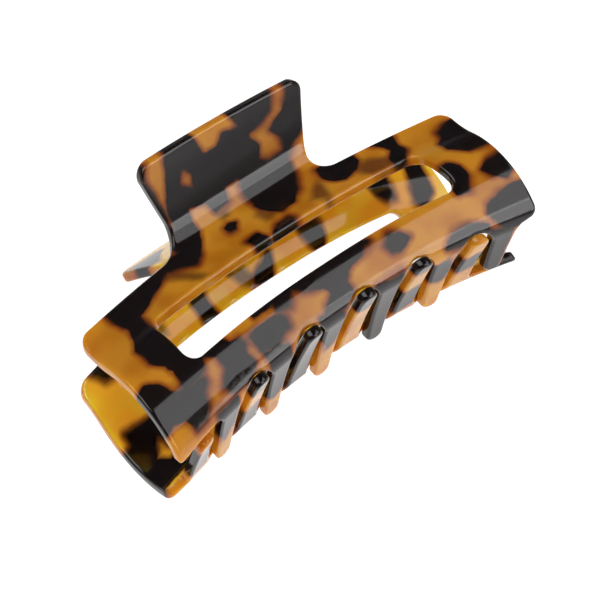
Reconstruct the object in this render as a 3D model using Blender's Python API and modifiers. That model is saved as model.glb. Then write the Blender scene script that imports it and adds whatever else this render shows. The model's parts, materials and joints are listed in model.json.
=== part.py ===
"""A large claw clip for the hair: two cut-out jaws of bent sheet, hinged on a sprung pin and lying closed.

Both jaws are the same part. The second is the first one turned half round the clip's upright axis, so the
teeth of one close between the teeth of the other. A jaw is drawn flat, as the sheet is sawn, and then bent.

Flat sheet: x runs along the clip and s down the sheet, from the grip tab over the neck and the plate to the
tooth tips, with s = 0 where the neck's bend ends. Both are in metres.
Clip frame: origin on the hinge's axis, X along the clip, Y up towards the tabs and Z out through the upper jaw.
"""

import math

import bmesh
import bpy
from mathutils import Euler, Matrix, Vector

MM = 0.001

# The sheet
THICKNESS = 2.6 * MM
EDGE_ROUND = 0.75 * MM          # polished round of every sawn edge

# Bends of the sheet's middle surface, from the end of the neck's bend. A turn is in degrees.
NECK_END_OUT = 6.4 * MM         # distance of the sheet from the clip's middle plane, there
NECK_END_DOWN = 3.7 * MM        # and below the height of the neck's middle
NECK_END_HEADING = 5.8          # angle of the sheet from upright, there
DOWN_BENDS = (
    # name, length, turn
    ("throat", 10.8 * MM, 32.3),
    ("plate", 21.5 * MM, -69.9),
    ("heel", 4.2 * MM, -59.0),
    ("fingers", 25.0 * MM, 9.0),
)
UP_BENDS = (
    ("neck", 9.3 * MM, 58.0),
    ("tab", 17.8 * MM, 8.0),
)

# The sheet is also bowed along x, so its ends hang lower and stand further out than its middle
HALF_LENGTH = 53.4 * MM
DROOP_TAB = 3.4 * MM
DROOP_PLATE = 5.2 * MM
DROOP_PER_LENGTH = 0.053        # more droop for each metre down the sheet
FLARE_PLATE = 4.2 * MM
FLARE_PER_LENGTH = -0.126       # less flare for each metre down the sheet

# Outline of the flat sheet
TAB_ENDS = (-25.6 * MM, -25.1 * MM)     # the tab's end is sawn a little askew
TAB_HALF_WIDTHS = (23.3 * MM, 23.9 * MM)
NECK_HALF_WIDTH = 18.2 * MM
TAB_CORNERS = (3.5 * MM, 2.7 * MM)
# Top edge of the plate on each side of the neck: s beside the neck and at the end, and the neck's fillet
FIRST_SHOULDER = (-2.0 * MM, 0.0 * MM, 7.0 * MM)
LAST_SHOULDER = (-0.4 * MM, 0.6 * MM, 4.8 * MM)
PLATE_CORNER = 3.2 * MM
HEEL_HALF_LENGTH = 52.7 * MM
HEEL_CORNERS = (35.8 * MM, 34.3 * MM)   # s of the corner before the first finger and after the last one
HEEL_CORNER_ROUNDS = (1.3 * MM, 2.4 * MM)
NOTCH_TOPS = (35.2 * MM, 35.7 * MM)     # s where that corner's lower edge meets the finger
NOTCH_ROUND = 2.0 * MM

# Window in the plate
WINDOW_HALF_LENGTH = 38.8 * MM
WINDOW_TOP = (9.9 * MM, 9.3 * MM)       # s at the middle and at the ends
WINDOW_BOTTOM = (24.0 * MM, 23.5 * MM)
WINDOW_CORNER = 3.3 * MM
LONG_CURVE = 500.0 * MM

# Teeth: six fingers, a little nearer the first end than the last
FINGERS = 6
PITCH = 16.0 * MM
FIRST_ROOT = -35.6 * MM
TIP_SHIFT = -1.0 * MM           # the tips lie a little nearer the first end than the roots
ROOT_WIDTH = 6.3 * MM
TIP_WIDTH = 4.4 * MM
LAST_TIP_SHIFT = -0.3 * MM      # but the last finger stands straighter
LAST_SHORTER = 2.0 * MM         # and stops short of the other jaw
TIP_S = 58.2 * MM
TIP_RISE = 8.5 * MM             # how much shorter a finger would be at the very end
GAP_TOP_S = 32.9 * MM
GAP_TOP_DROP = 2.5 * MM         # how much lower a gap's top would be at the very end
GAP_ROUND = 4.8 * MM

# Hinge
HINGE_DOWN = 1.0 * MM           # axis below the height of the neck's middle
PIN_RADIUS = 1.1 * MM
PIN_HOLE_RADIUS = 1.4 * MM
PIN_HEAD_RADIUS = 2.0 * MM
PIN_HEAD_THICKNESS = 0.9 * MM
EAR_THICKNESS = 2.4 * MM
EAR_RADIUS = 3.2 * MM
EAR_INNER_X = 8.3 * MM          # middle of the ears next to the spring
SEAT_GAP = 0.3 * MM             # between a piece and what carries it
EAR_SEAT_S = (-5.6 * MM, 2.6 * MM)

# Spring
WIRE_RADIUS = 0.45 * MM
COIL_RADIUS = 2.55 * MM
COIL_TURNS = 5
COIL_PITCH = 1.2 * MM
COIL_STEPS_PER_TURN = 10
LEG_END_S = -18.2 * MM

# Fineness of the facets
CORNER_STEP = math.radians(22.0)
BEND_STEP = math.radians(11.0)
BOW_STEPS = 14
HOLE_SIDES = 16

SHEET_COLOUR = (0.50, 0.22, 0.03, 1.0)
STEEL_COLOUR = (0.55, 0.55, 0.56, 1.0)


def clear_scene():
    for old in list(bpy.data.objects):
        bpy.data.objects.remove(old, do_unlink=True)


def material(name, colour, roughness, metallic):
    made = bpy.data.materials.new(name)
    made.use_nodes = True
    shader = made.node_tree.nodes["Principled BSDF"]
    shader.inputs["Base Color"].default_value = colour
    shader.inputs["Roughness"].default_value = roughness
    shader.inputs["Metallic"].default_value = metallic
    return made


# The bent sheet

def arc_step(out, up, heading, length, turn):
    """Walk along an arc in the clip's cross-section and return the place and the heading at its end."""
    if abs(turn) < 1e-9:
        return out + math.sin(heading) * length, up - math.cos(heading) * length, heading
    radius = length / turn
    end = heading + turn
    return (
        out + radius * (math.cos(heading) - math.cos(end)),
        up - radius * (math.sin(end) - math.sin(heading)),
        end,
    )


def section(s):
    """Place and heading of the sheet's middle surface at s, before it is bowed."""
    out, up = NECK_END_OUT, HINGE_DOWN - NECK_END_DOWN
    heading = math.radians(NECK_END_HEADING)
    left = abs(s)
    side = 1.0 if s >= 0.0 else -1.0
    bends = DOWN_BENDS if s >= 0.0 else UP_BENDS
    for name, length, turn in bends:
        part = min(left, length)
        if name == bends[-1][0]:
            part = left
        out, up, heading = arc_step(out, up, heading, side * part, side * math.radians(turn) * part / length)
        left -= part
        if left <= 0.0:
            break
    return out, up, heading


def bent(x, s, n):
    """Where the point at x and s of the flat sheet, n out from its middle, lies on the upper jaw."""
    out, up, heading = section(s)
    out += n * math.cos(heading)
    up += n * math.sin(heading)
    bow = (x / HALF_LENGTH) ** 2
    neck_length = UP_BENDS[0][1]
    on_plate = min(1.0, max(0.0, (s + neck_length) / neck_length))
    droop = DROOP_TAB + (DROOP_PLATE + DROOP_PER_LENGTH * max(s, 0.0) - DROOP_TAB) * on_plate
    flare = (FLARE_PLATE + FLARE_PER_LENGTH * max(s, 0.0)) * on_plate
    return Vector((x, up - droop * bow, out + flare * bow))


# The flat outline

def rounded(corners):
    """Turn rows of x, s and radius into points, with an arc in place of each corner."""
    points = []
    count = len(corners)
    for i, (x, s, radius) in enumerate(corners):
        here = Vector((x, s))
        before = Vector(corners[i - 1][:2])
        after = Vector(corners[(i + 1) % count][:2])
        to_before = (before - here).normalized()
        to_after = (after - here).normalized()
        turn = math.pi - to_before.angle(to_after)
        if radius <= 0.0:
            points.append(here)
            continue
        reach = radius * math.tan(turn / 2.0)
        middle = here + (to_before + to_after).normalized() * (radius / math.cos(turn / 2.0))
        start = here + to_before * reach - middle
        side = 1.0 if to_before.x * to_after.y - to_before.y * to_after.x < 0.0 else -1.0
        steps = max(2, math.ceil(turn / CORNER_STEP))
        for k in range(steps + 1):
            points.append(middle + Matrix.Rotation(side * turn * k / steps, 2) @ start)
    return points


def finger_place(k):
    """x of a finger's root and tip, with s of its tip."""
    root = FIRST_ROOT + k * PITCH
    last = k == FINGERS - 1
    tip = root + (LAST_TIP_SHIFT if last else TIP_SHIFT)
    tip_s = TIP_S - TIP_RISE * (tip / HALF_LENGTH) ** 2
    return root, tip, tip_s - (LAST_SHORTER if last else 0.0)


def gap_top(x):
    return GAP_TOP_S + GAP_TOP_DROP * (x / HALF_LENGTH) ** 2


def outline_corners():
    """Corners of the sheet's outline, round from the tab's end by the last finger to the first one."""
    corners = [
        (-TAB_HALF_WIDTHS[0], TAB_ENDS[0], TAB_CORNERS[0]),
        (TAB_HALF_WIDTHS[1], TAB_ENDS[1], TAB_CORNERS[1]),
        (NECK_HALF_WIDTH, LAST_SHOULDER[0], LAST_SHOULDER[2]),
        (HALF_LENGTH, LAST_SHOULDER[1], PLATE_CORNER),
        (HEEL_HALF_LENGTH, HEEL_CORNERS[1], HEEL_CORNER_ROUNDS[1]),
    ]
    for k in reversed(range(FINGERS)):
        root, tip, tip_s = finger_place(k)
        tops = [gap_top(root - PITCH / 2.0), gap_top(root + PITCH / 2.0)]
        rounds = [GAP_ROUND, GAP_ROUND]
        if k == 0:
            tops[0], rounds[0] = NOTCH_TOPS[0], NOTCH_ROUND
        if k == FINGERS - 1:
            tops[1], rounds[1] = NOTCH_TOPS[1], NOTCH_ROUND
        corners += [
            (root + ROOT_WIDTH / 2.0, tops[1], rounds[1]),
            (tip + TIP_WIDTH / 2.0, tip_s, TIP_WIDTH * 0.48),
            (tip - TIP_WIDTH / 2.0, tip_s, TIP_WIDTH * 0.48),
            (root - ROOT_WIDTH / 2.0, tops[0], rounds[0]),
        ]
    corners += [
        (-HEEL_HALF_LENGTH, HEEL_CORNERS[0], HEEL_CORNER_ROUNDS[0]),
        (-HALF_LENGTH, FIRST_SHOULDER[1], PLATE_CORNER),
        (-NECK_HALF_WIDTH, FIRST_SHOULDER[0], FIRST_SHOULDER[2]),
    ]
    return corners


def window_corners():
    """Corners of the window, round the other way."""
    return [
        (-WINDOW_HALF_LENGTH, WINDOW_TOP[1], WINDOW_CORNER),
        (-WINDOW_HALF_LENGTH, WINDOW_BOTTOM[1], WINDOW_CORNER),
        (0.0, WINDOW_BOTTOM[0], LONG_CURVE),
        (WINDOW_HALF_LENGTH, WINDOW_BOTTOM[1], WINDOW_CORNER),
        (WINDOW_HALF_LENGTH, WINDOW_TOP[1], WINDOW_CORNER),
        (0.0, WINDOW_TOP[0], LONG_CURVE),
    ]


def flat_piece(name, loops, thickness, edge_round):
    """A mesh cut from flat sheet: closed loops of points, with a chamfer round every edge."""
    curve = bpy.data.curves.new(name + "_outline", "CURVE")
    curve.dimensions = "2D"
    curve.fill_mode = "BOTH"
    curve.extrude = thickness / 2.0 - edge_round
    curve.bevel_depth = edge_round
    curve.bevel_resolution = 0
    curve.offset = -edge_round
    for loop in loops:
        spline = curve.splines.new("POLY")
        spline.points.add(len(loop) - 1)
        for point, place in zip(spline.points, loop):
            point.co = (place[0], place[1], 0.0, 1.0)
        spline.use_cyclic_u = True
    drawn = bpy.data.objects.new(name + "_outline", curve)
    bpy.context.scene.collection.objects.link(drawn)
    bpy.context.view_layer.update()
    evaluated = drawn.evaluated_get(bpy.context.evaluated_depsgraph_get())
    mesh = bpy.data.meshes.new_from_object(evaluated)
    mesh.name = name
    bpy.data.objects.remove(drawn, do_unlink=True)
    bpy.data.curves.remove(curve)
    shape = bmesh.new()
    shape.from_mesh(mesh)
    bmesh.ops.remove_doubles(shape, verts=shape.verts, dist=1e-6)
    bmesh.ops.dissolve_limit(shape, angle_limit=math.radians(0.5), verts=shape.verts, edges=shape.edges)
    return mesh, shape


def finish_mesh(mesh, shape):
    bmesh.ops.triangulate(shape, faces=shape.faces)
    bmesh.ops.recalc_face_normals(shape, faces=shape.faces)
    shape.to_mesh(mesh)
    shape.free()
    mesh.shade_smooth()
    mesh.set_sharp_from_angle(angle=math.radians(40.0))
    return mesh


def bend_lines():
    """Heights s at which the flat sheet is scored, so that every bend comes out round."""
    lines = [0.0]
    for bends, side in ((DOWN_BENDS, 1.0), (UP_BENDS, -1.0)):
        start = 0.0
        for _, length, turn in bends:
            steps = max(1, math.ceil(math.radians(abs(turn)) / BEND_STEP))
            lines += [side * (start + length * k / steps) for k in range(1, steps + 1)]
            start += length
    return sorted(lines)


def score(shape, place, direction):
    everything = list(shape.verts) + list(shape.edges) + list(shape.faces)
    bmesh.ops.bisect_plane(shape, geom=everything, dist=1e-6, plane_co=place, plane_no=direction)


def jaw_mesh():
    """The jaw, sawn flat with s running down, scored across its bends and then bent."""
    loops = [[(p.x, -p.y) for p in rounded(rows)] for rows in (outline_corners(), window_corners())]
    mesh, shape = flat_piece("jaw", loops, THICKNESS, EDGE_ROUND)
    for s in bend_lines():
        score(shape, (0.0, -s, 0.0), (0.0, 1.0, 0.0))
    for k in range(1, BOW_STEPS):
        score(shape, (HALF_LENGTH * (2.0 * k / BOW_STEPS - 1.0), 0.0, 0.0), (1.0, 0.0, 0.0))
    for vertex in shape.verts:
        vertex.co = bent(vertex.co.x, -vertex.co.y, vertex.co.z)
    return finish_mesh(mesh, shape)


# The hinge

def ear_mesh(x):
    """An ear in the clip's YZ plane: its back follows the neck's inner face at x, its nose is round the pin."""
    seat = -(THICKNESS / 2.0 + SEAT_GAP)
    steps = 6
    profile = []
    for k in range(steps + 1):
        s = EAR_SEAT_S[0] + (EAR_SEAT_S[1] - EAR_SEAT_S[0]) * k / steps
        place = bent(x, s, seat)
        profile.append((place.y, place.z))
    nose_steps = 10
    for k in range(nose_steps + 1):
        angle = math.radians(-100.0 + 200.0 * k / nose_steps)
        profile.append((EAR_RADIUS * math.sin(angle), -EAR_RADIUS * math.cos(angle)))
    hole = [
        (PIN_HOLE_RADIUS * math.cos(2.0 * math.pi * k / HOLE_SIDES),
         PIN_HOLE_RADIUS * math.sin(2.0 * math.pi * k / HOLE_SIDES))
        for k in range(HOLE_SIDES)
    ]
    mesh, shape = flat_piece("ear", [profile, hole], EAR_THICKNESS, 0.2 * MM)
    return finish_mesh(mesh, shape)


def pin_mesh():
    """The pin along X with a head at each end, turned from its profile."""
    shank_end = EAR_INNER_X + 1.5 * EAR_THICKNESS + 2.0 * SEAT_GAP
    half = [
        (shank_end + PIN_HEAD_THICKNESS, 0.0),
        (shank_end + PIN_HEAD_THICKNESS, PIN_HEAD_RADIUS - 0.4 * MM),
        (shank_end + PIN_HEAD_THICKNESS - 0.4 * MM, PIN_HEAD_RADIUS),
        (shank_end, PIN_HEAD_RADIUS),
        (shank_end, PIN_RADIUS),
    ]
    profile = half + [(-x, r) for x, r in reversed(half)]
    mesh = bpy.data.meshes.new("pin")
    mesh.from_pydata([(r, 0.0, x) for x, r in profile], [(i, i + 1) for i in range(len(profile) - 1)], [])
    turned = bpy.data.objects.new("pin_profile", mesh)
    bpy.context.scene.collection.objects.link(turned)
    screw = turned.modifiers.new("turn", "SCREW")
    screw.steps = 16
    screw.render_steps = 16
    screw.use_merge_vertices = True
    screw.merge_threshold = 0.000001
    bpy.context.view_layer.update()
    made = bpy.data.meshes.new_from_object(turned.evaluated_get(bpy.context.evaluated_depsgraph_get()))
    bpy.data.objects.remove(turned, do_unlink=True)
    made.transform(Euler((0.0, math.pi / 2.0, 0.0)).to_matrix().to_4x4())
    shape = bmesh.new()
    shape.from_mesh(made)
    bmesh.ops.remove_doubles(shape, verts=shape.verts, dist=1e-6)
    return finish_mesh(made, shape)


def spring_route():
    """Middle line of the wire: a leg on the upper tab, the coil round the pin, a leg on the lower tab."""
    reach = THICKNESS / 2.0 + SEAT_GAP + WIRE_RADIUS
    half_coil = COIL_TURNS * COIL_PITCH / 2.0
    leg_end = bent(-half_coil, LEG_END_S, -reach)
    distance = math.hypot(leg_end.z, leg_end.y)
    leave = math.atan2(leg_end.y, leg_end.z) + math.acos(COIL_RADIUS / distance)
    sweep = (math.pi - leave) + 2.0 * math.pi * COIL_TURNS - leave
    steps = COIL_TURNS * COIL_STEPS_PER_TURN
    route = [leg_end]
    for k in range(steps + 1):
        angle = leave + sweep * k / steps
        along = -half_coil + 2.0 * half_coil * k / steps
        route.append(Vector((along, COIL_RADIUS * math.sin(angle), COIL_RADIUS * math.cos(angle))))
    route.append(Vector((-leg_end.x, leg_end.y, -leg_end.z)))
    return route


def spring_mesh():
    curve = bpy.data.curves.new("spring_wire", "CURVE")
    curve.dimensions = "3D"
    curve.bevel_depth = WIRE_RADIUS
    curve.bevel_resolution = 2
    curve.use_fill_caps = True
    route = spring_route()
    spline = curve.splines.new("POLY")
    spline.points.add(len(route) - 1)
    for point, place in zip(spline.points, route):
        point.co = (place.x, place.y, place.z, 1.0)
    wire = bpy.data.objects.new("spring_wire", curve)
    bpy.context.scene.collection.objects.link(wire)
    bpy.context.view_layer.update()
    mesh = bpy.data.meshes.new_from_object(wire.evaluated_get(bpy.context.evaluated_depsgraph_get()))
    bpy.data.objects.remove(wire, do_unlink=True)
    shape = bmesh.new()
    shape.from_mesh(mesh)
    bmesh.ops.remove_doubles(shape, verts=shape.verts, dist=1e-6)
    return finish_mesh(mesh, shape)


# How the clip lies

def rest_tilt(jaw):
    """Angle about X at which the lower jaw touches the surface with its tab and its heel at once."""
    lower = [Vector((v.co.y, -v.co.z)) for v in jaw.vertices]
    steepest = math.radians(40.0)
    low, high = -steepest, steepest
    for _ in range(40):
        middle = (low + high) / 2.0
        c, s = math.cos(middle), math.sin(middle)
        tab = min(p.x * s + p.y * c for p in lower if p.x > 0.0)
        heel = min(p.x * s + p.y * c for p in lower if p.x < 0.0)
        if tab < heel:
            low = middle
        else:
            high = middle
    return (low + high) / 2.0


def place_clip(frame, parts):
    """Stand the clip's box on the origin: bottom at Z = 0, middle of its length and depth at X = Y = 0."""
    bpy.context.view_layer.update()
    corners = [part.matrix_world @ v.co for part in parts for v in part.data.vertices]
    low = [min(c[i] for c in corners) for i in range(3)]
    high = [max(c[i] for c in corners) for i in range(3)]
    frame.location = (-(low[0] + high[0]) / 2.0, -(low[1] + high[1]) / 2.0, -low[2])
    bpy.context.view_layer.update()


def main():
    clear_scene()
    collection = bpy.data.collections.new("hair_clip")
    bpy.context.scene.collection.children.link(collection)
    sheet = material("tortoiseshell_sheet", SHEET_COLOUR, 0.15, 0.0)
    steel = material("spring_steel", STEEL_COLOUR, 0.3, 1.0)
    jaw = jaw_mesh()
    half_turn = Euler((0.0, math.pi, 0.0))
    ear_stand = Euler((math.pi / 2.0, 0.0, math.pi / 2.0))

    frame = bpy.data.objects.new("hinge_axis", None)
    collection.objects.link(frame)
    frame.rotation_euler = (rest_tilt(jaw), 0.0, 0.0)

    def add(name, mesh, finish, rotation=(0.0, 0.0, 0.0), x=0.0):
        made = bpy.data.objects.new(name, mesh)
        made.data.materials.clear()
        made.data.materials.append(finish)
        made.rotation_euler = rotation
        made.location = (x, 0.0, 0.0)
        made.parent = frame
        collection.objects.link(made)
        return made

    parts = [add("upper_jaw", jaw, sheet), add("lower_jaw", jaw, sheet, half_turn)]
    outer_x = EAR_INNER_X + EAR_THICKNESS + SEAT_GAP
    turned_stand = (half_turn.to_matrix() @ ear_stand.to_matrix()).to_euler()
    for x, side in ((-outer_x, "left"), (EAR_INNER_X, "right")):
        ear = ear_mesh(x)
        other = "right" if side == "left" else "left"
        parts.append(add("upper_ear_" + side, ear, sheet, ear_stand, x))
        parts.append(add("lower_ear_" + other, ear, sheet, turned_stand, -x))
    parts.append(add("hinge_pin", pin_mesh(), steel))
    parts.append(add("torsion_spring", spring_mesh(), steel))
    place_clip(frame, parts)


main()
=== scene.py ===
"""Looks of a large claw clip for the hair, in mottled tortoiseshell sheet with a steel pin and spring.

The jaws are drawn flat and bent with the same dimensions as the CAD part, only finer.
Flat sheet: x runs along the clip and s down the sheet, from the grip tab to the tooth tips, with s = 0 where
the neck's bend ends.
Clip frame: origin on the hinge's axis, X along the clip, Y up towards the tabs, Z out through the upper jaw.
"""

import json
import math

import bmesh
import bpy
import mathutils.noise
import numpy as np
from mathutils import Euler, Matrix, Vector


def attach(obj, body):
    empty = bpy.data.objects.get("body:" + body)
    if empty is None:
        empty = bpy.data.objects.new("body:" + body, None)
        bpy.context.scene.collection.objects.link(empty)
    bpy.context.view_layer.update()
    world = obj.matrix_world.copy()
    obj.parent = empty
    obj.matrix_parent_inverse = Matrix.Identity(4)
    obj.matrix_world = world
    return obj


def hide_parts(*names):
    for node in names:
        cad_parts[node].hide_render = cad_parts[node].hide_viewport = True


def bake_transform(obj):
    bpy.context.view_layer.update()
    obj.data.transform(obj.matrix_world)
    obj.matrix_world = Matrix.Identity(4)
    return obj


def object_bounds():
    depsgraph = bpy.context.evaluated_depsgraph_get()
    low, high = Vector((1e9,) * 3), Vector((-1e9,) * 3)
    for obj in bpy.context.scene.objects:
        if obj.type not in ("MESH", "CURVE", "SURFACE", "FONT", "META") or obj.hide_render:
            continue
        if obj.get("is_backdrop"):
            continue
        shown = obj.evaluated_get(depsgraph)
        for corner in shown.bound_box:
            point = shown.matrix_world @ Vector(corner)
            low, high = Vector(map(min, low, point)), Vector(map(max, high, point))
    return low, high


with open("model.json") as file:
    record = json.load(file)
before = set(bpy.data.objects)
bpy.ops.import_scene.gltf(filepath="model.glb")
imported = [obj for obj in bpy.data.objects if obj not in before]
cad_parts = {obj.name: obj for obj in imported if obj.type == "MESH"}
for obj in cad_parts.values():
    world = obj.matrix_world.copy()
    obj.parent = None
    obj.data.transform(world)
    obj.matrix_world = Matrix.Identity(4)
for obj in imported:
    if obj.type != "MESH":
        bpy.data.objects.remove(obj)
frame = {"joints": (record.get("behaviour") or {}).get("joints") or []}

MM = 0.001

# The sheet, bent and bowed as in the part
THICKNESS = 2.6 * MM
EDGE_ROUND = 0.7 * MM
NECK_END_OUT = 6.4 * MM
NECK_END_DOWN = 3.7 * MM
NECK_END_HEADING = 5.8
DOWN_BENDS = ((10.8 * MM, 32.3), (21.5 * MM, -69.9), (4.2 * MM, -59.0), (25.0 * MM, 9.0))
UP_BENDS = ((9.3 * MM, 58.0), (17.8 * MM, 8.0))
HALF_LENGTH = 53.4 * MM
DROOP_TAB = 3.4 * MM
DROOP_PLATE = 5.2 * MM
DROOP_PER_LENGTH = 0.053
FLARE_PLATE = 4.2 * MM
FLARE_PER_LENGTH = -0.126

# Outline of the flat sheet
TAB_ENDS = (-25.6 * MM, -25.1 * MM)
TAB_HALF_WIDTHS = (23.3 * MM, 23.9 * MM)
NECK_HALF_WIDTH = 18.2 * MM
TAB_CORNERS = (3.5 * MM, 2.7 * MM)
FIRST_SHOULDER = (-2.0 * MM, 0.0 * MM, 7.0 * MM)
LAST_SHOULDER = (-0.4 * MM, 0.6 * MM, 4.8 * MM)
PLATE_CORNER = 3.2 * MM
HEEL_HALF_LENGTH = 52.7 * MM
HEEL_CORNERS = (35.8 * MM, 34.3 * MM)
HEEL_CORNER_ROUNDS = (1.3 * MM, 2.4 * MM)
NOTCH_TOPS = (35.2 * MM, 35.7 * MM)
NOTCH_ROUND = 2.0 * MM
WINDOW_HALF_LENGTH = 38.8 * MM
WINDOW_TOP = (9.9 * MM, 9.3 * MM)
WINDOW_BOTTOM = (24.0 * MM, 23.5 * MM)
WINDOW_CORNER = 3.3 * MM
LONG_CURVE = 500.0 * MM
FINGERS = 6
PITCH = 16.0 * MM
FIRST_ROOT = -35.6 * MM
TIP_SHIFT = -1.0 * MM
ROOT_WIDTH = 6.3 * MM
TIP_WIDTH = 4.4 * MM
LAST_TIP_SHIFT = -0.3 * MM
LAST_SHORTER = 2.0 * MM
TIP_S = 58.2 * MM
TIP_RISE = 8.5 * MM
GAP_TOP_S = 32.9 * MM
GAP_TOP_DROP = 2.5 * MM
GAP_ROUND = 4.8 * MM

# Hinge and spring. The ear's nose is an arc round the pin, of EAR_NOSE_REACH degrees to each side.
HINGE_DOWN = 1.0 * MM
PIN_RADIUS = 1.1 * MM
PIN_HOLE_RADIUS = 1.4 * MM
PIN_HEAD_RADIUS = 2.0 * MM
PIN_HEAD_THICKNESS = 0.9 * MM
EAR_THICKNESS = 2.4 * MM
EAR_RADIUS = 3.2 * MM
EAR_INNER_X = 8.3 * MM
SEAT_GAP = 0.3 * MM
EAR_SEAT_S = (-5.6 * MM, 2.6 * MM)
EAR_EDGE_ROUND = 0.3 * MM
EAR_NOSE_REACH = 100.0
WIRE_RADIUS = 0.45 * MM
COIL_RADIUS = 2.55 * MM
COIL_TURNS = 5
COIL_PITCH = 1.2 * MM
LEG_END_S = -18.2 * MM

# How the clip lies: tilt about its length, and its hinge as the frame has it
RESTING_TILT = math.radians(9.0164)
HINGE = Vector(frame["joints"][0]["pos_m"])

# Fineness, and the distance under which two vertices count as one
CORNER_STEP = math.radians(7.5)
EDGE_STEPS = 3
CELL = 0.75 * MM
BEND_STEP = math.radians(4.0)
ROUND_SIDES = 40
WELD = 0.001 * MM

# Dark patches of each jaw, as outlines in millimetres of x and s, and the clear patches cut out of them. The
# upper jaw's follow the photograph, and so do the lower jaw's where its sheet shows. One of the upper jaw's,
# at the tab's left corner, is a painted dark reflection: its rounded edge mirroring dark surroundings.
UPPER_DARK_AND_PAINTED_REFLECTION = (
    ((-14.8, -26.2), (23.5, -26.2), (22, -16.2), (20, -12.5), (17, -10.7), (14.5, -7.5), (14.3, -3),
     (12, 1.2), (9, 3.5), (5, 4.4), (3, 2.5), (1, -1.1), (0.5, -5), (1, -9.7), (-3.5, -10.2), (-4, -6),
     (-7.5, -5.5), (-9, -9.2), (-14, -10.7), (-14.3, -6), (-13.7, -3.5), (-15.5, -0.6), (-17.5, 2.1),
     (-20, 3.9), (-24, 1.6), (-28, 0.3), (-28, -2.1), (-18.6, -2.1), (-18.6, -12.7), (-16.8, -18.2)),
    # Painted dark reflection, not mottling: the rounded edge at the tab's left corner as it mirrors dark
    # surroundings.
    ((-23.5, -26.2), (-20.6, -26.2), (-22, -22.2), (-23.2, -20.2)),
    ((-45, -1.1), (-26, -2.1), (-25, 0.2), (-28, 1.3), (-31, 2.5), (-35, 4.2), (-38.8, 5.8), (-39.3, 12),
     (-38.6, 19), (-36, 23.5), (-37.5, 26), (-42, 26.5), (-44, 25.5), (-43.5, 20.5), (-46, 17.5),
     (-46, 13), (-44, 10.5), (-43, 6.2), (-44.6, 2.5)),
    ((-54, 21), (-50.5, 20.3), (-48, 22), (-46.5, 24.8), (-43, 26.5), (-38, 26.5), (-38.3, 28),
     (-40.5, 29), (-41, 31.5), (-43, 33), (-46, 33), (-47, 30), (-50, 28.8), (-54, 29.5)),
    ((-8.6, -0.4), (-7, -0.9), (-5.4, -0.1), (-6.5, 1.6), (-8.3, 1.4)),
    ((-7.5, 6.6), (-4, 6.2), (-3.2, 8.8), (-3.4, 11), (-1.5, 9.6), (1, 7.5), (4.5, 6.8), (5.3, 8.6),
     (4, 11.5), (2, 13.6), (-9, 13.6), (-8.5, 11.7), (-6.7, 11)),
    ((-24, -22), (-21.7, -21.5), (-20.4, -16), (-19.3, -9), (-18, -5.5), (-17.5, -3.5), (-21, -1),
     (-24, -8)),
    ((18.8, -1.1), (28.3, -1.1), (28, 2.5), (26, 4.6), (22, 5.6), (19.8, 4.4), (18.6, 2.1)),
    ((33, -0.2), (39, 0.5), (38.2, 3), (38.4, 6.2), (36, 9.1), (33.3, 9.5), (33.8, 6.7), (36, 4.4),
     (35.5, 2.5)),
    ((50, 4.4), (54, 3.5), (54, 16.3), (47.5, 16.3), (44.5, 13.5), (45, 10), (46.8, 8.1), (47.3, 5.9)),
    ((46, 22), (49, 20.3), (54, 19), (54, 23), (50, 25.2), (47, 24)),
    ((38.5, 17.5), (41, 17.2), (42.6, 19), (42.3, 22), (40, 25), (37, 25), (37.5, 22), (39, 20)),
    ((-37, 23.3), (-30, 23.5), (-29, 25.5), (-26.8, 25.8), (-25.7, 27.5), (-27.5, 29), (-26.5, 31.5),
     (-29, 33.2), (-34.5, 33), (-36, 31), (-33.2, 28.5), (-33.4, 25.2)),
    ((-24.6, 27), (-21, 26.8), (-16.5, 27), (-14.5, 28.3), (-15.3, 30.5), (-20, 31.6), (-24, 31)),
    ((-21, 23), (10, 23), (12.5, 25), (8, 26.8), (4, 27.8), (1.8, 29.6), (2.5, 32), (-1, 34), (-7, 34),
     (-5, 31.5), (-2.2, 29.8), (-3.5, 28), (-7.5, 26.6), (-10, 25), (-12.6, 27.5), (-16, 26.6),
     (-15.5, 24.8), (-21, 24.6)),
    ((14.8, 27.8), (17, 25.6), (19.8, 27), (21.3, 28.4), (18, 30), (15.5, 29.6)),
    ((41.8, 29.5), (46, 27.8), (50, 27.2), (54, 27.5), (54, 33.5), (48, 35.5), (43, 34.5), (40.8, 31)),
    ((28, 34), (31, 31.8), (36, 31.5), (40, 33), (39, 35), (32, 35)),
    ((-40, 34), (-34, 34), (-34.5, 42), (-37, 46), (-39, 43)),
    ((-23.6, 31.5), (-17.5, 33), (-17.5, 47), (-20.5, 49.5), (-23, 47.5)),
    ((-8, 33), (-2, 33.5), (-0.5, 40), (-3, 45), (-4.5, 46.5), (-6, 43), (-8, 38)),
    ((8, 34), (16, 34), (15, 59), (8, 59)),
    ((25, 38), (28.5, 37), (31.5, 42), (28.5, 45.5), (25, 44)),
    ((40, 34), (46, 35.5), (45.5, 52), (40, 51)),
)
UPPER_CLEAR = (
    ((-8.5, -27.2), (2.5, -27.2), (4.8, -21.5), (0, -21.9), (-2, -19.7), (-5.5, -19.5), (-6.5, -21.7)),
    ((-14.1, -16.3), (-12.1, -20), (-9.9, -17.2), (-10.8, -13.9)),
    ((6.3, -18.4), (10.8, -19.2), (13.5, -21.1), (14.7, -24.3), (16, -27.2), (18.9, -27.2), (19, -23.6),
     (17, -19.6), (13.9, -17.8), (12.4, -16.6), (14.7, -13.5), (14.2, -10.3), (9.8, -9.9), (7.4, -11.2),
     (8.3, -14.7)),
    ((-49, 20.4), (-44.5, 20.6), (-42.6, 21.4), (-43.6, 24.8), (-45.2, 25.6), (-47, 23.3)),
)
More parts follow.
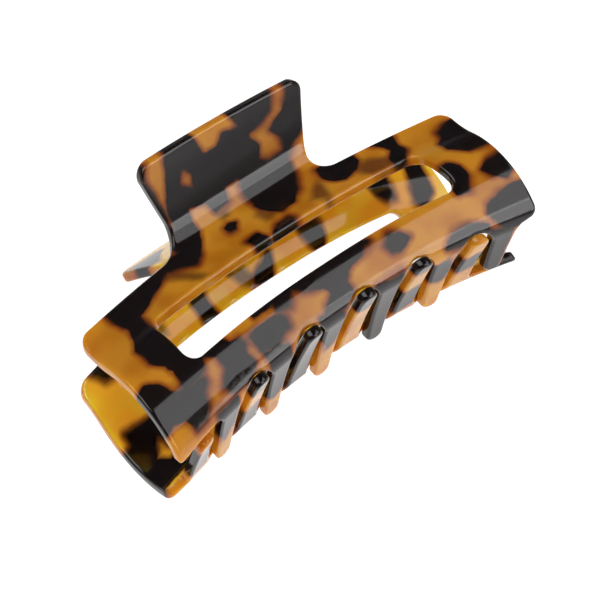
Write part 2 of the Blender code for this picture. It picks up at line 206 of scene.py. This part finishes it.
UPPER_STAINS = (
    ((-29, 1.2), (-26, 0.7), (-22, 4.4), (-20, 8.6), (-22.5, 8.6), (-25, 5.3)),
    ((16.5, 1.6), (17.5, 3.5), (16, 8.6), (13.5, 12.5), (12.5, 11.5), (14, 8.1), (11.5, 6.2)),
    ((27, 3.5), (30, 3), (33.5, 5.3), (34, 9.5), (27, 9.5), (25.5, 6.2)),
    ((1, -1.1), (4, 3.5), (2, 5.3), (0, 4.8), (-1, 1.6)),
    ((-8, -5), (-4, -5), (-5.5, -2.5), (-7.5, -2.1)),
)
LOWER_DARK = (
    ((-51, -0.2), (-47.5, -0.2), (-43.5, 9.1), (-45.5, 10.5), (-49, 8.1)),
    ((-40.5, 0.7), (-35.5, 1.6), (-35.6, 4), (-37, 6.2), (-39, 6.2)),
    ((-18, 3.6), (-12.6, 3.3), (-12.9, 6.2), (-13.7, 9.1), (-16, 9.1), (-17.3, 7.2)),
    ((-2.5, 4.4), (0, 5.8), (3.5, 7.2), (4.6, 9.1), (0, 10), (-1.5, 7.2)),
    ((16.5, 0.7), (20.5, 0.7), (20, 6.2), (20, 10), (16.3, 10), (17.2, 5.8)),
    ((44, -0.2), (49, 0.9), (47, 3.7), (45, 4.4)),
    ((42, 17.6), (46.5, 16.6), (50.2, 15.6), (50.3, 18.6), (54, 19.3), (54, 33), (44, 33), (44, 28)),
    ((41, 38.5), (47.5, 38.2), (47, 47.2), (41, 46.2)),
    ((25, 50.6), (30.5, 51.6), (30.5, 57), (25, 57)),
    ((25, 36), (31.5, 35), (31, 43.2), (25, 44.5)),
    ((9, 36), (15.5, 36), (14.5, 60), (9, 60)),
    ((-7.5, 54), (-4.5, 52), (-2, 52.8), (-2, 60), (-7.5, 60)),
    ((-23.5, 55.5), (-20.5, 53.8), (-18, 54.2), (-18, 58), (-23.5, 58)),
    ((-22.5, 38), (-17, 37), (-17, 45), (-22, 46)),
    ((-39.5, 43), (-33.5, 42), (-33.5, 47), (-39.5, 48)),
    ((-54, 30), (-47, 29), (-46.5, 36), (-54, 37)),
)
LOWER_HIDDEN = (
    ((30, 17), (37, 15), (41, 19), (38, 25), (31, 24)),
    ((-8, -23.2), (3, -21.2), (6, -13.2), (-4, -9.2), (-12, -14.2)),
    ((13, -19.2), (18, -11.2), (22, -13.2), (21, -21.2)),
    ((-22, -21.2), (-17, -19.2), (-18, -11.2), (-21, -14.2)),
    ((-6, -3), (8, -4), (10, 0.7), (-4, 1.6)),
    ((-34, 26), (-26, 25), (-24, 31), (-32, 33)),
    ((-14, 26), (-5, 27), (-6, 32), (-15, 31)),
    ((3, 25), (13, 27), (11, 33), (2, 31)),
    ((22, 26), (31, 28), (29, 32), (21, 31)),
    ((-53, 14), (-46, 13), (-42, 18), (-46, 25), (-54, 22)),
)
LOWER_CLEAR = (
    ((43, 36.4), (46, 36.4), (46.3, 38), (43, 38.6)),
    ((44.5, 21.5), (48.7, 25.6), (46, 28.6), (43, 28)),
)
LOWER_STAINS = (
    ((5, 3.5), (9.2, 3.5), (8, 7.2), (5.5, 9.1), (3, 8.1)),
    ((28, 0.7), (32, 1.6), (31, 5.3), (29, 6.2)),
)
EAR_DARK = (((-6, 2), (2, 3), (1, 8), (-6, 8)),)
EAR_STAINS = (((-3, -3), (0, -3), (0, 0)),)

# Every dark patch grows by this much, and this stands for the distance to a patch that isn't there
PATCH_ROUND = 0.35
FAR_OFF = 99.0

# The hidden patches are only placed roughly, and their edges wander by a noise of this size and fineness
HIDDEN_WANDER = 4.0
HIDDEN_FINENESS = 0.16

# Colours, as linear red, green, blue and alpha. Amber comes as a golden and a deeper tone, and in a lighter
# pair for the sheet's inner side, which is painted backlight: the sheet as the photograph shows it lit
# through from behind, with that light painted into the colour. The painted inner pair turns to the outer one
# over the range of n in millimetres given last below.
AMBERS = ((0.66, 0.31, 0.022, 1.0), (0.55, 0.215, 0.012, 1.0))
PAINTED_BACKLIT_AMBERS = ((0.97, 0.69, 0.055, 1.0), (0.93, 0.57, 0.04, 1.0))
PAINTED_BACKLIGHT_DEPTHS = (-1.25, -0.9)
RIM_BROWN = (0.30, 0.055, 0.010, 1.0)
STAIN_BROWN = (0.14, 0.035, 0.010, 1.0)
PATCH_BLACK = (0.010, 0.006, 0.006, 1.0)
STEEL_GREY = (0.55, 0.55, 0.56, 1.0)
DULL_STEEL = (0.38, 0.37, 0.36, 1.0)
TABLE_GREY = (0.25, 0.25, 0.25, 1.0)
HORIZON_GREY = (0.28, 0.28, 0.29, 1.0)
OVERHEAD_GREY = (0.05, 0.05, 0.055, 1.0)

# How the light spreads inside the sheet, by colour and in depth, and how rough the surfaces are
SPREAD = (1.0, 0.7, 0.12)
SPREAD_DEPTH = 4.0 * MM
SHEET_IOR = 1.49
SHEET_ROUGHNESS = (0.05, 0.11)
STEEL_ROUGHNESS = (0.16, 0.34)

# The table's own light near the clip and far from it, and the distances between which it falls off
TABLE_GLOW = (1.0, 0.35)
TABLE_GLOW_REACH = (0.12, 0.42)
TABLE_HALF = 3.0

# Softboxes: azimuth and elevation in degrees, then distance, width and height in metres, and watts
SOFTBOXES = (
    ("key_softbox", 37.0, 47.5, 0.8, 0.82, 0.42, 2.3),
    ("top_softbox", 250.0, 62.0, 0.9, 0.7, 0.7, 4.2),
    ("front_softbox", 24.0, 19.0, 0.9, 0.22, 0.48, 1.3),
)

# Camera, by where it stands and how it is turned
CAMERA_PLACE = (-0.16259, -0.17497, 0.32327)
CAMERA_TURN = (36.746, -2.653, -40.771)
CAMERA_LENS = 101.43
SENSOR = 36.0


# The bent sheet

def arc_step(out, up, heading, length, turn):
    """Walk along an arc in the clip's cross-section and return the place and the heading at its end."""
    radius = length / turn
    end = heading + turn
    return (
        out + radius * (math.cos(heading) - math.cos(end)),
        up - radius * (math.sin(end) - math.sin(heading)),
        end,
    )


def section(s):
    """Place and heading of the sheet's middle surface at s, before it is bowed."""
    out, up = NECK_END_OUT, HINGE_DOWN - NECK_END_DOWN
    heading = math.radians(NECK_END_HEADING)
    left = abs(s)
    side = 1.0 if s >= 0.0 else -1.0
    bends = DOWN_BENDS if s >= 0.0 else UP_BENDS
    for index, (length, turn) in enumerate(bends):
        part = left if index == len(bends) - 1 else min(left, length)
        if part > 0.0:
            turned = side * math.radians(turn) * part / length
            out, up, heading = arc_step(out, up, heading, side * part, turned)
        left -= part
    return out, up, heading


def bent(x, s, n):
    """Where the point at x and s of the flat sheet, n out from its middle, lies on the upper jaw."""
    out, up, heading = section(s)
    out += n * math.cos(heading)
    up += n * math.sin(heading)
    bow = (x / HALF_LENGTH) ** 2
    neck_length = UP_BENDS[0][0]
    on_plate = min(1.0, max(0.0, (s + neck_length) / neck_length))
    droop = DROOP_TAB + (DROOP_PLATE + DROOP_PER_LENGTH * max(s, 0.0) - DROOP_TAB) * on_plate
    flare = (FLARE_PLATE + FLARE_PER_LENGTH * max(s, 0.0)) * on_plate
    return Vector((x, up - droop * bow, out + flare * bow))


# The flat outline

def rounded(corners):
    """Turn rows of x, s and radius into points, with an arc in place of each corner."""
    points = []
    count = len(corners)
    for i, (x, s, radius) in enumerate(corners):
        here = Vector((x, s))
        before = Vector(corners[i - 1][:2])
        after = Vector(corners[(i + 1) % count][:2])
        to_before = (before - here).normalized()
        to_after = (after - here).normalized()
        turn = math.pi - to_before.angle(to_after)
        reach = radius * math.tan(turn / 2.0)
        middle = here + (to_before + to_after).normalized() * (radius / math.cos(turn / 2.0))
        start = here + to_before * reach - middle
        side = 1.0 if to_before.x * to_after.y - to_before.y * to_after.x < 0.0 else -1.0
        steps = max(3, math.ceil(turn / CORNER_STEP))
        for k in range(steps + 1):
            points.append(middle + Matrix.Rotation(side * turn * k / steps, 2) @ start)
    return points


def finger_place(k):
    """x of a finger's root and tip, with s of its tip."""
    root = FIRST_ROOT + k * PITCH
    last = k == FINGERS - 1
    tip = root + (LAST_TIP_SHIFT if last else TIP_SHIFT)
    tip_s = TIP_S - TIP_RISE * (tip / HALF_LENGTH) ** 2
    return root, tip, tip_s - (LAST_SHORTER if last else 0.0)


def gap_top(x):
    return GAP_TOP_S + GAP_TOP_DROP * (x / HALF_LENGTH) ** 2


def outline_corners():
    """Corners of the sheet's outline, round from the tab's end by the last finger to the first one."""
    corners = [
        (-TAB_HALF_WIDTHS[0], TAB_ENDS[0], TAB_CORNERS[0]),
        (TAB_HALF_WIDTHS[1], TAB_ENDS[1], TAB_CORNERS[1]),
        (NECK_HALF_WIDTH, LAST_SHOULDER[0], LAST_SHOULDER[2]),
        (HALF_LENGTH, LAST_SHOULDER[1], PLATE_CORNER),
        (HEEL_HALF_LENGTH, HEEL_CORNERS[1], HEEL_CORNER_ROUNDS[1]),
    ]
    for k in reversed(range(FINGERS)):
        root, tip, tip_s = finger_place(k)
        tops = [gap_top(root - PITCH / 2.0), gap_top(root + PITCH / 2.0)]
        rounds = [GAP_ROUND, GAP_ROUND]
        if k == 0:
            tops[0], rounds[0] = NOTCH_TOPS[0], NOTCH_ROUND
        if k == FINGERS - 1:
            tops[1], rounds[1] = NOTCH_TOPS[1], NOTCH_ROUND
        corners += [
            (root + ROOT_WIDTH / 2.0, tops[1], rounds[1]),
            (tip + TIP_WIDTH / 2.0, tip_s, TIP_WIDTH * 0.48),
            (tip - TIP_WIDTH / 2.0, tip_s, TIP_WIDTH * 0.48),
            (root - ROOT_WIDTH / 2.0, tops[0], rounds[0]),
        ]
    corners += [
        (-HEEL_HALF_LENGTH, HEEL_CORNERS[0], HEEL_CORNER_ROUNDS[0]),
        (-HALF_LENGTH, FIRST_SHOULDER[1], PLATE_CORNER),
        (-NECK_HALF_WIDTH, FIRST_SHOULDER[0], FIRST_SHOULDER[2]),
    ]
    return corners


def window_corners():
    """Corners of the window, round the other way."""
    return [
        (-WINDOW_HALF_LENGTH, WINDOW_TOP[1], WINDOW_CORNER),
        (-WINDOW_HALF_LENGTH, WINDOW_BOTTOM[1], WINDOW_CORNER),
        (0.0, WINDOW_BOTTOM[0], LONG_CURVE),
        (WINDOW_HALF_LENGTH, WINDOW_BOTTOM[1], WINDOW_CORNER),
        (WINDOW_HALF_LENGTH, WINDOW_TOP[1], WINDOW_CORNER),
        (0.0, WINDOW_TOP[0], LONG_CURVE),
    ]


def flat_piece(name, loops, thickness, edge_round):
    """A mesh cut from flat sheet: closed loops of points, with every edge rounded over."""
    curve = bpy.data.curves.new(name + "_outline", "CURVE")
    curve.dimensions = "2D"
    curve.fill_mode = "BOTH"
    curve.extrude = thickness / 2.0 - edge_round
    curve.bevel_depth = edge_round
    curve.bevel_resolution = EDGE_STEPS
    curve.offset = -edge_round
    for loop in loops:
        spline = curve.splines.new("POLY")
        spline.points.add(len(loop) - 1)
        for point, place in zip(spline.points, loop):
            point.co = (place[0], place[1], 0.0, 1.0)
        spline.use_cyclic_u = True
    drawn = bpy.data.objects.new(name + "_outline", curve)
    bpy.context.scene.collection.objects.link(drawn)
    bpy.context.view_layer.update()
    evaluated = drawn.evaluated_get(bpy.context.evaluated_depsgraph_get())
    mesh = bpy.data.meshes.new_from_object(evaluated)
    mesh.name = name
    bpy.data.objects.remove(drawn, do_unlink=True)
    bpy.data.curves.remove(curve)
    shape = bmesh.new()
    shape.from_mesh(mesh)
    bmesh.ops.remove_doubles(shape, verts=shape.verts, dist=WELD)
    bmesh.ops.dissolve_limit(shape, angle_limit=math.radians(0.5), verts=shape.verts, edges=shape.edges)
    return mesh, shape


def bend_lines():
    """Heights s at which the flat sheet is scored: close together in the bends, a cell apart elsewhere."""
    lines = [0.0]
    for bends, side, end in ((DOWN_BENDS, 1.0, TIP_S), (UP_BENDS, -1.0, -TAB_ENDS[0])):
        start = 0.0
        for length, turn in bends:
            steps = max(math.ceil(math.radians(abs(turn)) / BEND_STEP), math.ceil(length / CELL))
            lines += [side * (start + length * k / steps) for k in range(1, steps + 1)]
            start += length
        while start < end:
            start += CELL
            lines.append(side * start)
    return sorted(lines)


def score(shape, place, direction):
    everything = list(shape.verts) + list(shape.edges) + list(shape.faces)
    bmesh.ops.bisect_plane(shape, geom=everything, dist=WELD, plane_co=place, plane_no=direction)


def flat_jaw():
    """The jaw's mesh still flat, scored into cells, and each vertex's x, s and n."""
    loops = [[(p.x, -p.y) for p in rounded(rows)] for rows in (outline_corners(), window_corners())]
    mesh, shape = flat_piece("jaw", loops, THICKNESS, EDGE_ROUND)
    columns = math.ceil(2.0 * HALF_LENGTH / CELL)
    for k in range(1, columns):
        score(shape, (HALF_LENGTH * (2.0 * k / columns - 1.0), 0.0, 0.0), (1.0, 0.0, 0.0))
    for s in bend_lines():
        score(shape, (0.0, -s, 0.0), (0.0, 1.0, 0.0))
    bmesh.ops.recalc_face_normals(shape, faces=shape.faces)
    shape.to_mesh(mesh)
    shape.free()
    places = [(v.co.x, -v.co.y, v.co.z) for v in mesh.vertices]
    return mesh, places


# The mottling

def outline_distance(points, outline):
    """Signed distance of points to a closed outline, in the same unit, negative inside."""
    corners = np.array(outline, float)
    ends = np.roll(corners, -1, axis=0)
    along = ends - corners
    offset = points[:, None, :] - corners[None, :, :]
    share = np.clip((offset * along).sum(2) / (along ** 2).sum(1), 0.0, 1.0)
    gap = np.sqrt(((offset - share[:, :, None] * along) ** 2).sum(2)).min(1)
    over = corners[None, :, 1] > points[:, None, 1]
    end_over = ends[None, :, 1] > points[:, None, 1]
    with np.errstate(divide="ignore", invalid="ignore"):
        crossing = corners[:, 0] + (points[:, None, 1] - corners[:, 1]) * along[:, 0] / along[:, 1]
    crossed = (over != end_over) & (points[:, None, 0] < crossing)
    inside = crossed.sum(1) % 2 == 1
    return np.where(inside, -gap, gap)


def nearest(points, outlines):
    distances = [outline_distance(points, outline) for outline in outlines]
    return np.min([np.full(len(points), FAR_OFF)] + distances, axis=0)


def mottle(mesh, places, dark, hidden, clear, stains):
    """Keep on the mesh each vertex's place in the sheet and its distance to the patches, in millimetres."""
    millimetres = np.array(places) / MM
    points = millimetres[:, :2]
    patches = nearest(points, dark)
    if hidden:
        wander = []
        for x, s in points:
            wander.append(HIDDEN_WANDER * mathutils.noise.noise(Vector((x, s, 0.0)) * HIDDEN_FINENESS))
        patches = np.minimum(patches, nearest(points, hidden) + wander)
    patches = np.maximum(patches, -nearest(points, clear)) - PATCH_ROUND
    stained = nearest(points, stains)
    place = mesh.attributes.new("sheet_place", "FLOAT_VECTOR", "POINT")
    place.data.foreach_set("vector", millimetres.astype(np.float32).ravel())
    for name, values in (("patch_distance", patches), ("stain_distance", stained)):
        kept = mesh.attributes.new(name, "FLOAT", "POINT")
        kept.data.foreach_set("value", values.astype(np.float32))


# Materials

def new_material(name):
    made = bpy.data.materials.new(name)
    made.use_nodes = True
    tree = made.node_tree
    return made, tree, tree.nodes["Principled BSDF"]


def link(tree, source, target):
    tree.links.new(source, target)


def noise(tree, place, scale, detail, roughness=0.5):
    made = tree.nodes.new("ShaderNodeTexNoise")
    made.inputs["Scale"].default_value = scale
    made.inputs["Detail"].default_value = detail
    made.inputs["Roughness"].default_value = roughness
    link(tree, place, made.inputs["Vector"])
    return made.outputs["Fac"]


def maths(tree, operation, first, second):
    made = tree.nodes.new("ShaderNodeMath")
    made.operation = operation
    for socket, value in zip(made.inputs, (first, second)):
        if isinstance(value, (int, float)):
            socket.default_value = value
        else:
            link(tree, value, socket)
    return made.outputs["Value"]


def smooth_range(tree, value, from_min, from_max, to_min=0.0, to_max=1.0):
    made = tree.nodes.new("ShaderNodeMapRange")
    made.interpolation_type = "SMOOTHSTEP"
    link(tree, value, made.inputs["Value"])
    limits = (("From Min", from_min), ("From Max", from_max), ("To Min", to_min), ("To Max", to_max))
    for name, given in limits:
        if isinstance(given, (int, float)):
            made.inputs[name].default_value = given
        else:
            link(tree, given, made.inputs[name])
    return made.outputs["Result"]


def blend_colours(tree, share, first, second):
    made = tree.nodes.new("ShaderNodeMix")
    made.data_type = "RGBA"
    link(tree, share, made.inputs[0])
    for socket, value in ((made.inputs[6], first), (made.inputs[7], second)):
        if isinstance(value, tuple):
            socket.default_value = value
        else:
            link(tree, value, socket)
    return made.outputs[2]


def attribute(tree, name, output):
    made = tree.nodes.new("ShaderNodeAttribute")
    made.attribute_name = name
    return made.outputs[output]


def tortoiseshell():
    """Glossy translucent amber sheet with near-black patches, whose rims glow brown where they thin out. Its
    inner side is painted lighter, as painted backlight.
    """
    made, tree, shader = new_material("tortoiseshell_sheet")
    place = attribute(tree, "sheet_place", "Vector")
    broad = noise(tree, place, 0.11, 1.0)
    middling = noise(tree, place, 0.32, 2.0, 0.4)
    fine = noise(tree, place, 1.4, 2.0)

    wander = maths(tree, "SUBTRACT", middling, 0.5)
    distance = maths(tree, "ADD", attribute(tree, "patch_distance", "Fac"), wander)
    softness = smooth_range(tree, broad, 0.40, 0.66, 0.22, 0.9)
    dark = smooth_range(tree, distance, maths(tree, "MULTIPLY", softness, -1.0), softness, 1.0, 0.0)
    rim = smooth_range(tree, distance, 0.0, maths(tree, "ADD", softness, 1.2), 0.85, 0.0)
    stain_distance = maths(tree, "ADD", attribute(tree, "stain_distance", "Fac"), wander)
    stain = smooth_range(tree, stain_distance, -1.4, 1.2, 0.8, 0.0)

    # Painted backlight: the inner side takes the lighter amber pair, light through the sheet painted into its
    # colour.
    depth = tree.nodes.new("ShaderNodeSeparateXYZ")
    link(tree, place, depth.inputs["Vector"])
    outer = smooth_range(tree, depth.outputs["Z"], *PAINTED_BACKLIGHT_DEPTHS)
    tone = smooth_range(tree, broad, 0.36, 0.64)
    painted_backlit_amber = blend_colours(tree, tone, *PAINTED_BACKLIT_AMBERS)
    plain_amber = blend_colours(tree, tone, *AMBERS)
    amber = blend_colours(tree, outer, painted_backlit_amber, plain_amber)
    colour = blend_colours(tree, rim, amber, RIM_BROWN)
    colour = blend_colours(tree, stain, colour, STAIN_BROWN)
    colour = blend_colours(tree, dark, colour, PATCH_BLACK)
    link(tree, colour, shader.inputs["Base Color"])

    link(tree, smooth_range(tree, fine, 0.3, 0.7, *SHEET_ROUGHNESS), shader.inputs["Roughness"])
    shader.inputs["IOR"].default_value = SHEET_IOR
    shader.inputs["Subsurface Weight"].default_value = 1.0
    shader.inputs["Subsurface Radius"].default_value = SPREAD
    shader.inputs["Subsurface Scale"].default_value = SPREAD_DEPTH

    ripple = tree.nodes.new("ShaderNodeBump")
    ripple.inputs["Strength"].default_value = 0.12
    ripple.inputs["Distance"].default_value = 0.02 * MM
    link(tree, noise(tree, place, 0.25, 2.0), ripple.inputs["Height"])
    link(tree, ripple.outputs["Normal"], shader.inputs["Normal"])
    return made


def spring_steel():
    """Bright drawn steel with faint marks along the wire and a little dulling."""
    made, tree, shader = new_material("spring_steel")
    place = tree.nodes.new("ShaderNodeTexCoord").outputs["Object"]
    marks = noise(tree, place, 2600.0, 3.0, 0.6)
    dulling = noise(tree, place, 400.0, 2.0)
    link(tree, blend_colours(tree, dulling, STEEL_GREY, DULL_STEEL), shader.inputs["Base Color"])
    link(tree, smooth_range(tree, marks, 0.3, 0.7, *STEEL_ROUGHNESS), shader.inputs["Roughness"])
    shader.inputs["Metallic"].default_value = 1.0
    bump = tree.nodes.new("ShaderNodeBump")
    bump.inputs["Strength"].default_value = 0.2
    bump.inputs["Distance"].default_value = 0.01 * MM
    link(tree, marks, bump.inputs["Height"])
    link(tree, bump.outputs["Normal"], shader.inputs["Normal"])
    return made


# Pieces

def clip_matrix():
    return Matrix.Translation(HINGE) @ Matrix.Rotation(RESTING_TILT, 4, "X")


def add_piece(name, mesh, finish, turn=Matrix.Identity(4)):
    mesh.transform(clip_matrix() @ turn)
    mesh.materials.clear()
    mesh.materials.append(finish)
    mesh.shade_smooth()
    made = bpy.data.objects.new(name, mesh)
    bpy.context.scene.collection.objects.link(made)
    return made


def even_normals(piece):
    """Let the broad faces keep their own normals beside the small rounded ones."""
    made = piece.modifiers.new("even_normals", "WEIGHTED_NORMAL")
    made.keep_sharp = True


def add_jaws(sheet):
    mesh, places = flat_jaw()
    for vertex, (x, s, n) in zip(mesh.vertices, places):
        vertex.co = bent(x, s, n)
    other = mesh.copy()
    mottle(mesh, places, UPPER_DARK_AND_PAINTED_REFLECTION, (), UPPER_CLEAR, UPPER_STAINS)
    mottle(other, places, LOWER_DARK, LOWER_HIDDEN, LOWER_CLEAR, LOWER_STAINS)
    half_turn = Matrix.Rotation(math.pi, 4, "Y")
    for side, jaw, turn in (("upper", mesh, Matrix.Identity(4)), ("lower", other, half_turn)):
        piece = add_piece(side + "_jaw_sheet", jaw, sheet, turn)
        even_normals(piece)
        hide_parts(side + "_jaw")
        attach(piece, side)


def ear_mesh(x):
    """An ear in the clip's YZ plane: its back follows the neck's inner face at x, its nose the pin."""
    seat = -(THICKNESS / 2.0 + SEAT_GAP)
    steps = 12
    profile = []
    for k in range(steps + 1):
        s = EAR_SEAT_S[0] + (EAR_SEAT_S[1] - EAR_SEAT_S[0]) * k / steps
        place = bent(x, s, seat)
        profile.append((place.y, place.z))
    nose_steps = 28
    for k in range(nose_steps + 1):
        angle = math.radians(-EAR_NOSE_REACH + 2.0 * EAR_NOSE_REACH * k / nose_steps)
        profile.append((EAR_RADIUS * math.sin(angle), -EAR_RADIUS * math.cos(angle)))
    hole = []
    for k in range(ROUND_SIDES):
        angle = 2.0 * math.pi * k / ROUND_SIDES
        hole.append((PIN_HOLE_RADIUS * math.cos(angle), PIN_HOLE_RADIUS * math.sin(angle)))
    mesh, shape = flat_piece("ear", [profile, hole], EAR_THICKNESS, EAR_EDGE_ROUND)
    bmesh.ops.recalc_face_normals(shape, faces=shape.faces)
    shape.to_mesh(mesh)
    shape.free()
    return mesh


def add_ears(sheet):
    stand = Euler((math.pi / 2.0, 0.0, math.pi / 2.0)).to_matrix().to_4x4()
    half_turn = Matrix.Rotation(math.pi, 4, "Y")
    outer_x = EAR_INNER_X + EAR_THICKNESS + SEAT_GAP
    for x, side in ((-outer_x, "left"), (EAR_INNER_X, "right")):
        other = "right" if side == "left" else "left"
        for jaw, hand, turn in (("upper", side, Matrix.Identity(4)), ("lower", other, half_turn)):
            mesh = ear_mesh(x)
            flat = [(v.co.x, v.co.y, v.co.z) for v in mesh.vertices]
            mottle(mesh, flat, EAR_DARK, (), (), EAR_STAINS)
            node = f"{jaw}_ear_{hand}"
            piece = add_piece(node + "_sheet", mesh, sheet, turn @ Matrix.Translation((x, 0.0, 0.0)) @ stand)
            even_normals(piece)
            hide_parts(node)
            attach(piece, jaw)


def add_pin(steel):
    """The pin along X, with a domed head at each end."""
    shank_end = EAR_INNER_X + 1.5 * EAR_THICKNESS + 2.0 * SEAT_GAP
    dome = 8
    half = [
        (shank_end + PIN_HEAD_THICKNESS * math.cos(math.pi / 2.0 * k / dome),
         PIN_HEAD_RADIUS * math.sin(math.pi / 2.0 * k / dome))
        for k in range(dome + 1)
    ]
    half += [(shank_end, PIN_HEAD_RADIUS - 0.05 * MM), (shank_end, PIN_RADIUS)]
    profile = half + [(-x, r) for x, r in reversed(half)]
    mesh = bpy.data.meshes.new("pin")
    mesh.from_pydata([(r, 0.0, x) for x, r in profile], [(i, i + 1) for i in range(len(profile) - 1)], [])
    turned = bpy.data.objects.new("pin_profile", mesh)
    bpy.context.scene.collection.objects.link(turned)
    screw = turned.modifiers.new("turn", "SCREW")
    screw.steps = ROUND_SIDES
    screw.render_steps = ROUND_SIDES
    screw.use_merge_vertices = True
    screw.merge_threshold = WELD
    bpy.context.view_layer.update()
    made = bpy.data.meshes.new_from_object(turned.evaluated_get(bpy.context.evaluated_depsgraph_get()))
    bpy.data.objects.remove(turned, do_unlink=True)
    shape = bmesh.new()
    shape.from_mesh(made)
    bmesh.ops.remove_doubles(shape, verts=shape.verts, dist=WELD)
    bmesh.ops.recalc_face_normals(shape, faces=shape.faces)
    shape.to_mesh(made)
    shape.free()
    piece = add_piece("pin_turned", made, steel, Matrix.Rotation(math.pi / 2.0, 4, "Y"))
    piece.data.set_sharp_from_angle(angle=math.radians(50.0))
    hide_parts("hinge_pin")
    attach(piece, "lower")


def spring_route():
    """Middle line of the wire: a leg on the upper tab, the coil round the pin, a leg on the lower tab."""
    reach = THICKNESS / 2.0 + SEAT_GAP + WIRE_RADIUS
    half_coil = COIL_TURNS * COIL_PITCH / 2.0
    leg_end = bent(-half_coil, LEG_END_S, -reach)
    distance = math.hypot(leg_end.z, leg_end.y)
    leave = math.atan2(leg_end.y, leg_end.z) + math.acos(COIL_RADIUS / distance)
    sweep = (math.pi - leave) + 2.0 * math.pi * COIL_TURNS - leave
    steps = COIL_TURNS * 36
    coil = []
    for k in range(steps + 1):
        angle = leave + sweep * k / steps
        along = -half_coil + 2.0 * half_coil * k / steps
        coil.append(Vector((along, COIL_RADIUS * math.sin(angle), COIL_RADIUS * math.cos(angle))))
    far_end = Vector((-leg_end.x, leg_end.y, -leg_end.z))
    leg_steps = 12
    route = [leg_end.lerp(coil[0], k / leg_steps) for k in range(leg_steps)]
    route += coil
    route += [coil[-1].lerp(far_end, (k + 1) / leg_steps) for k in range(leg_steps)]
    return route


def add_spring(steel):
    curve = bpy.data.curves.new("wire", "CURVE")
    curve.dimensions = "3D"
    curve.bevel_depth = WIRE_RADIUS
    curve.bevel_resolution = 4
    curve.use_fill_caps = True
    route = spring_route()
    spline = curve.splines.new("POLY")
    spline.points.add(len(route) - 1)
    for point, place in zip(spline.points, route):
        point.co = (place.x, place.y, place.z, 1.0)
    wire = bpy.data.objects.new("wire", curve)
    bpy.context.scene.collection.objects.link(wire)
    bpy.context.view_layer.update()
    mesh = bpy.data.meshes.new_from_object(wire.evaluated_get(bpy.context.evaluated_depsgraph_get()))
    bpy.data.objects.remove(wire, do_unlink=True)
    piece = add_piece("spring_wire", mesh, steel)
    piece.data.set_sharp_from_angle(angle=math.radians(50.0))
    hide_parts("torsion_spring")
    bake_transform(piece)


# Stage, light and camera

def direction(azimuth, elevation):
    """Unit vector towards a light: azimuth 0 is -Y and 90 is +X, in degrees."""
    a, e = math.radians(azimuth), math.radians(elevation)
    return Vector((math.sin(a) * math.cos(e), -math.cos(a) * math.cos(e), math.sin(e)))


def soft_light(name, azimuth, elevation, distance, width, height, watts):
    light = bpy.data.lights.new(name, "AREA")
    light.shape = "RECTANGLE"
    light.size = width
    light.size_y = height
    light.energy = watts
    made = bpy.data.objects.new(name, light)
    towards = direction(azimuth, elevation)
    made.location = HINGE + towards * distance
    made.rotation_mode = "QUATERNION"
    made.rotation_quaternion = towards.to_track_quat("Z", "Y")
    bpy.context.scene.collection.objects.link(made)


def add_floor(height):
    """A large pale table, lit from below round the clip, as for a cut-out picture."""
    mesh = bpy.data.meshes.new("floor")
    corners = [(x * TABLE_HALF, y * TABLE_HALF, 0.0) for x, y in ((-1, -1), (1, -1), (1, 1), (-1, 1))]
    mesh.from_pydata(corners, [], [(0, 1, 2, 3)])
    mesh.transform(Matrix.Translation((0.0, 0.0, height)))
    made, tree, shader = new_material("pale_table")
    shader.inputs["Base Color"].default_value = TABLE_GREY
    shader.inputs["Roughness"].default_value = 0.9
    shader.inputs["Emission Color"].default_value = (1.0, 1.0, 1.0, 1.0)
    place = tree.nodes.new("ShaderNodeTexCoord").outputs["Object"]
    reach = tree.nodes.new("ShaderNodeVectorMath")
    reach.operation = "LENGTH"
    link(tree, place, reach.inputs[0])
    glow = smooth_range(tree, reach.outputs["Value"], *TABLE_GLOW_REACH, *TABLE_GLOW)
    link(tree, glow, shader.inputs["Emission Strength"])
    mesh.materials.append(made)
    floor = bpy.data.objects.new("floor", mesh)
    bpy.context.scene.collection.objects.link(floor)
    floor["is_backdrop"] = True


def add_world():
    """Pale near the horizon and dark above, so the upper faces mirror nothing."""
    world = bpy.data.worlds.new("studio")
    bpy.context.scene.world = world
    world.use_nodes = True
    tree = world.node_tree
    place = tree.nodes.new("ShaderNodeTexCoord").outputs["Generated"]
    split = tree.nodes.new("ShaderNodeSeparateXYZ")
    link(tree, place, split.inputs["Vector"])
    height = smooth_range(tree, split.outputs["Z"], 0.12, 0.32)
    colour = blend_colours(tree, height, HORIZON_GREY, OVERHEAD_GREY)
    link(tree, colour, tree.nodes["Background"].inputs["Color"])


def add_camera():
    data = bpy.data.cameras.new("camera")
    data.sensor_width = SENSOR
    data.lens = CAMERA_LENS
    data.clip_start = 0.01
    camera = bpy.data.objects.new("camera", data)
    camera.location = CAMERA_PLACE
    camera.rotation_euler = [math.radians(v) for v in CAMERA_TURN]
    bpy.context.scene.collection.objects.link(camera)
    bpy.context.scene.camera = camera


def main():
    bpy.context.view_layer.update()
    sheet = tortoiseshell()
    steel = spring_steel()
    add_jaws(sheet)
    add_ears(sheet)
    add_pin(steel)
    add_spring(steel)
    add_floor(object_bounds()[0].z)
    add_world()
    for softbox in SOFTBOXES:
        soft_light(*softbox)
    add_camera()
    bpy.context.scene.view_settings.view_transform = "Standard"


main()
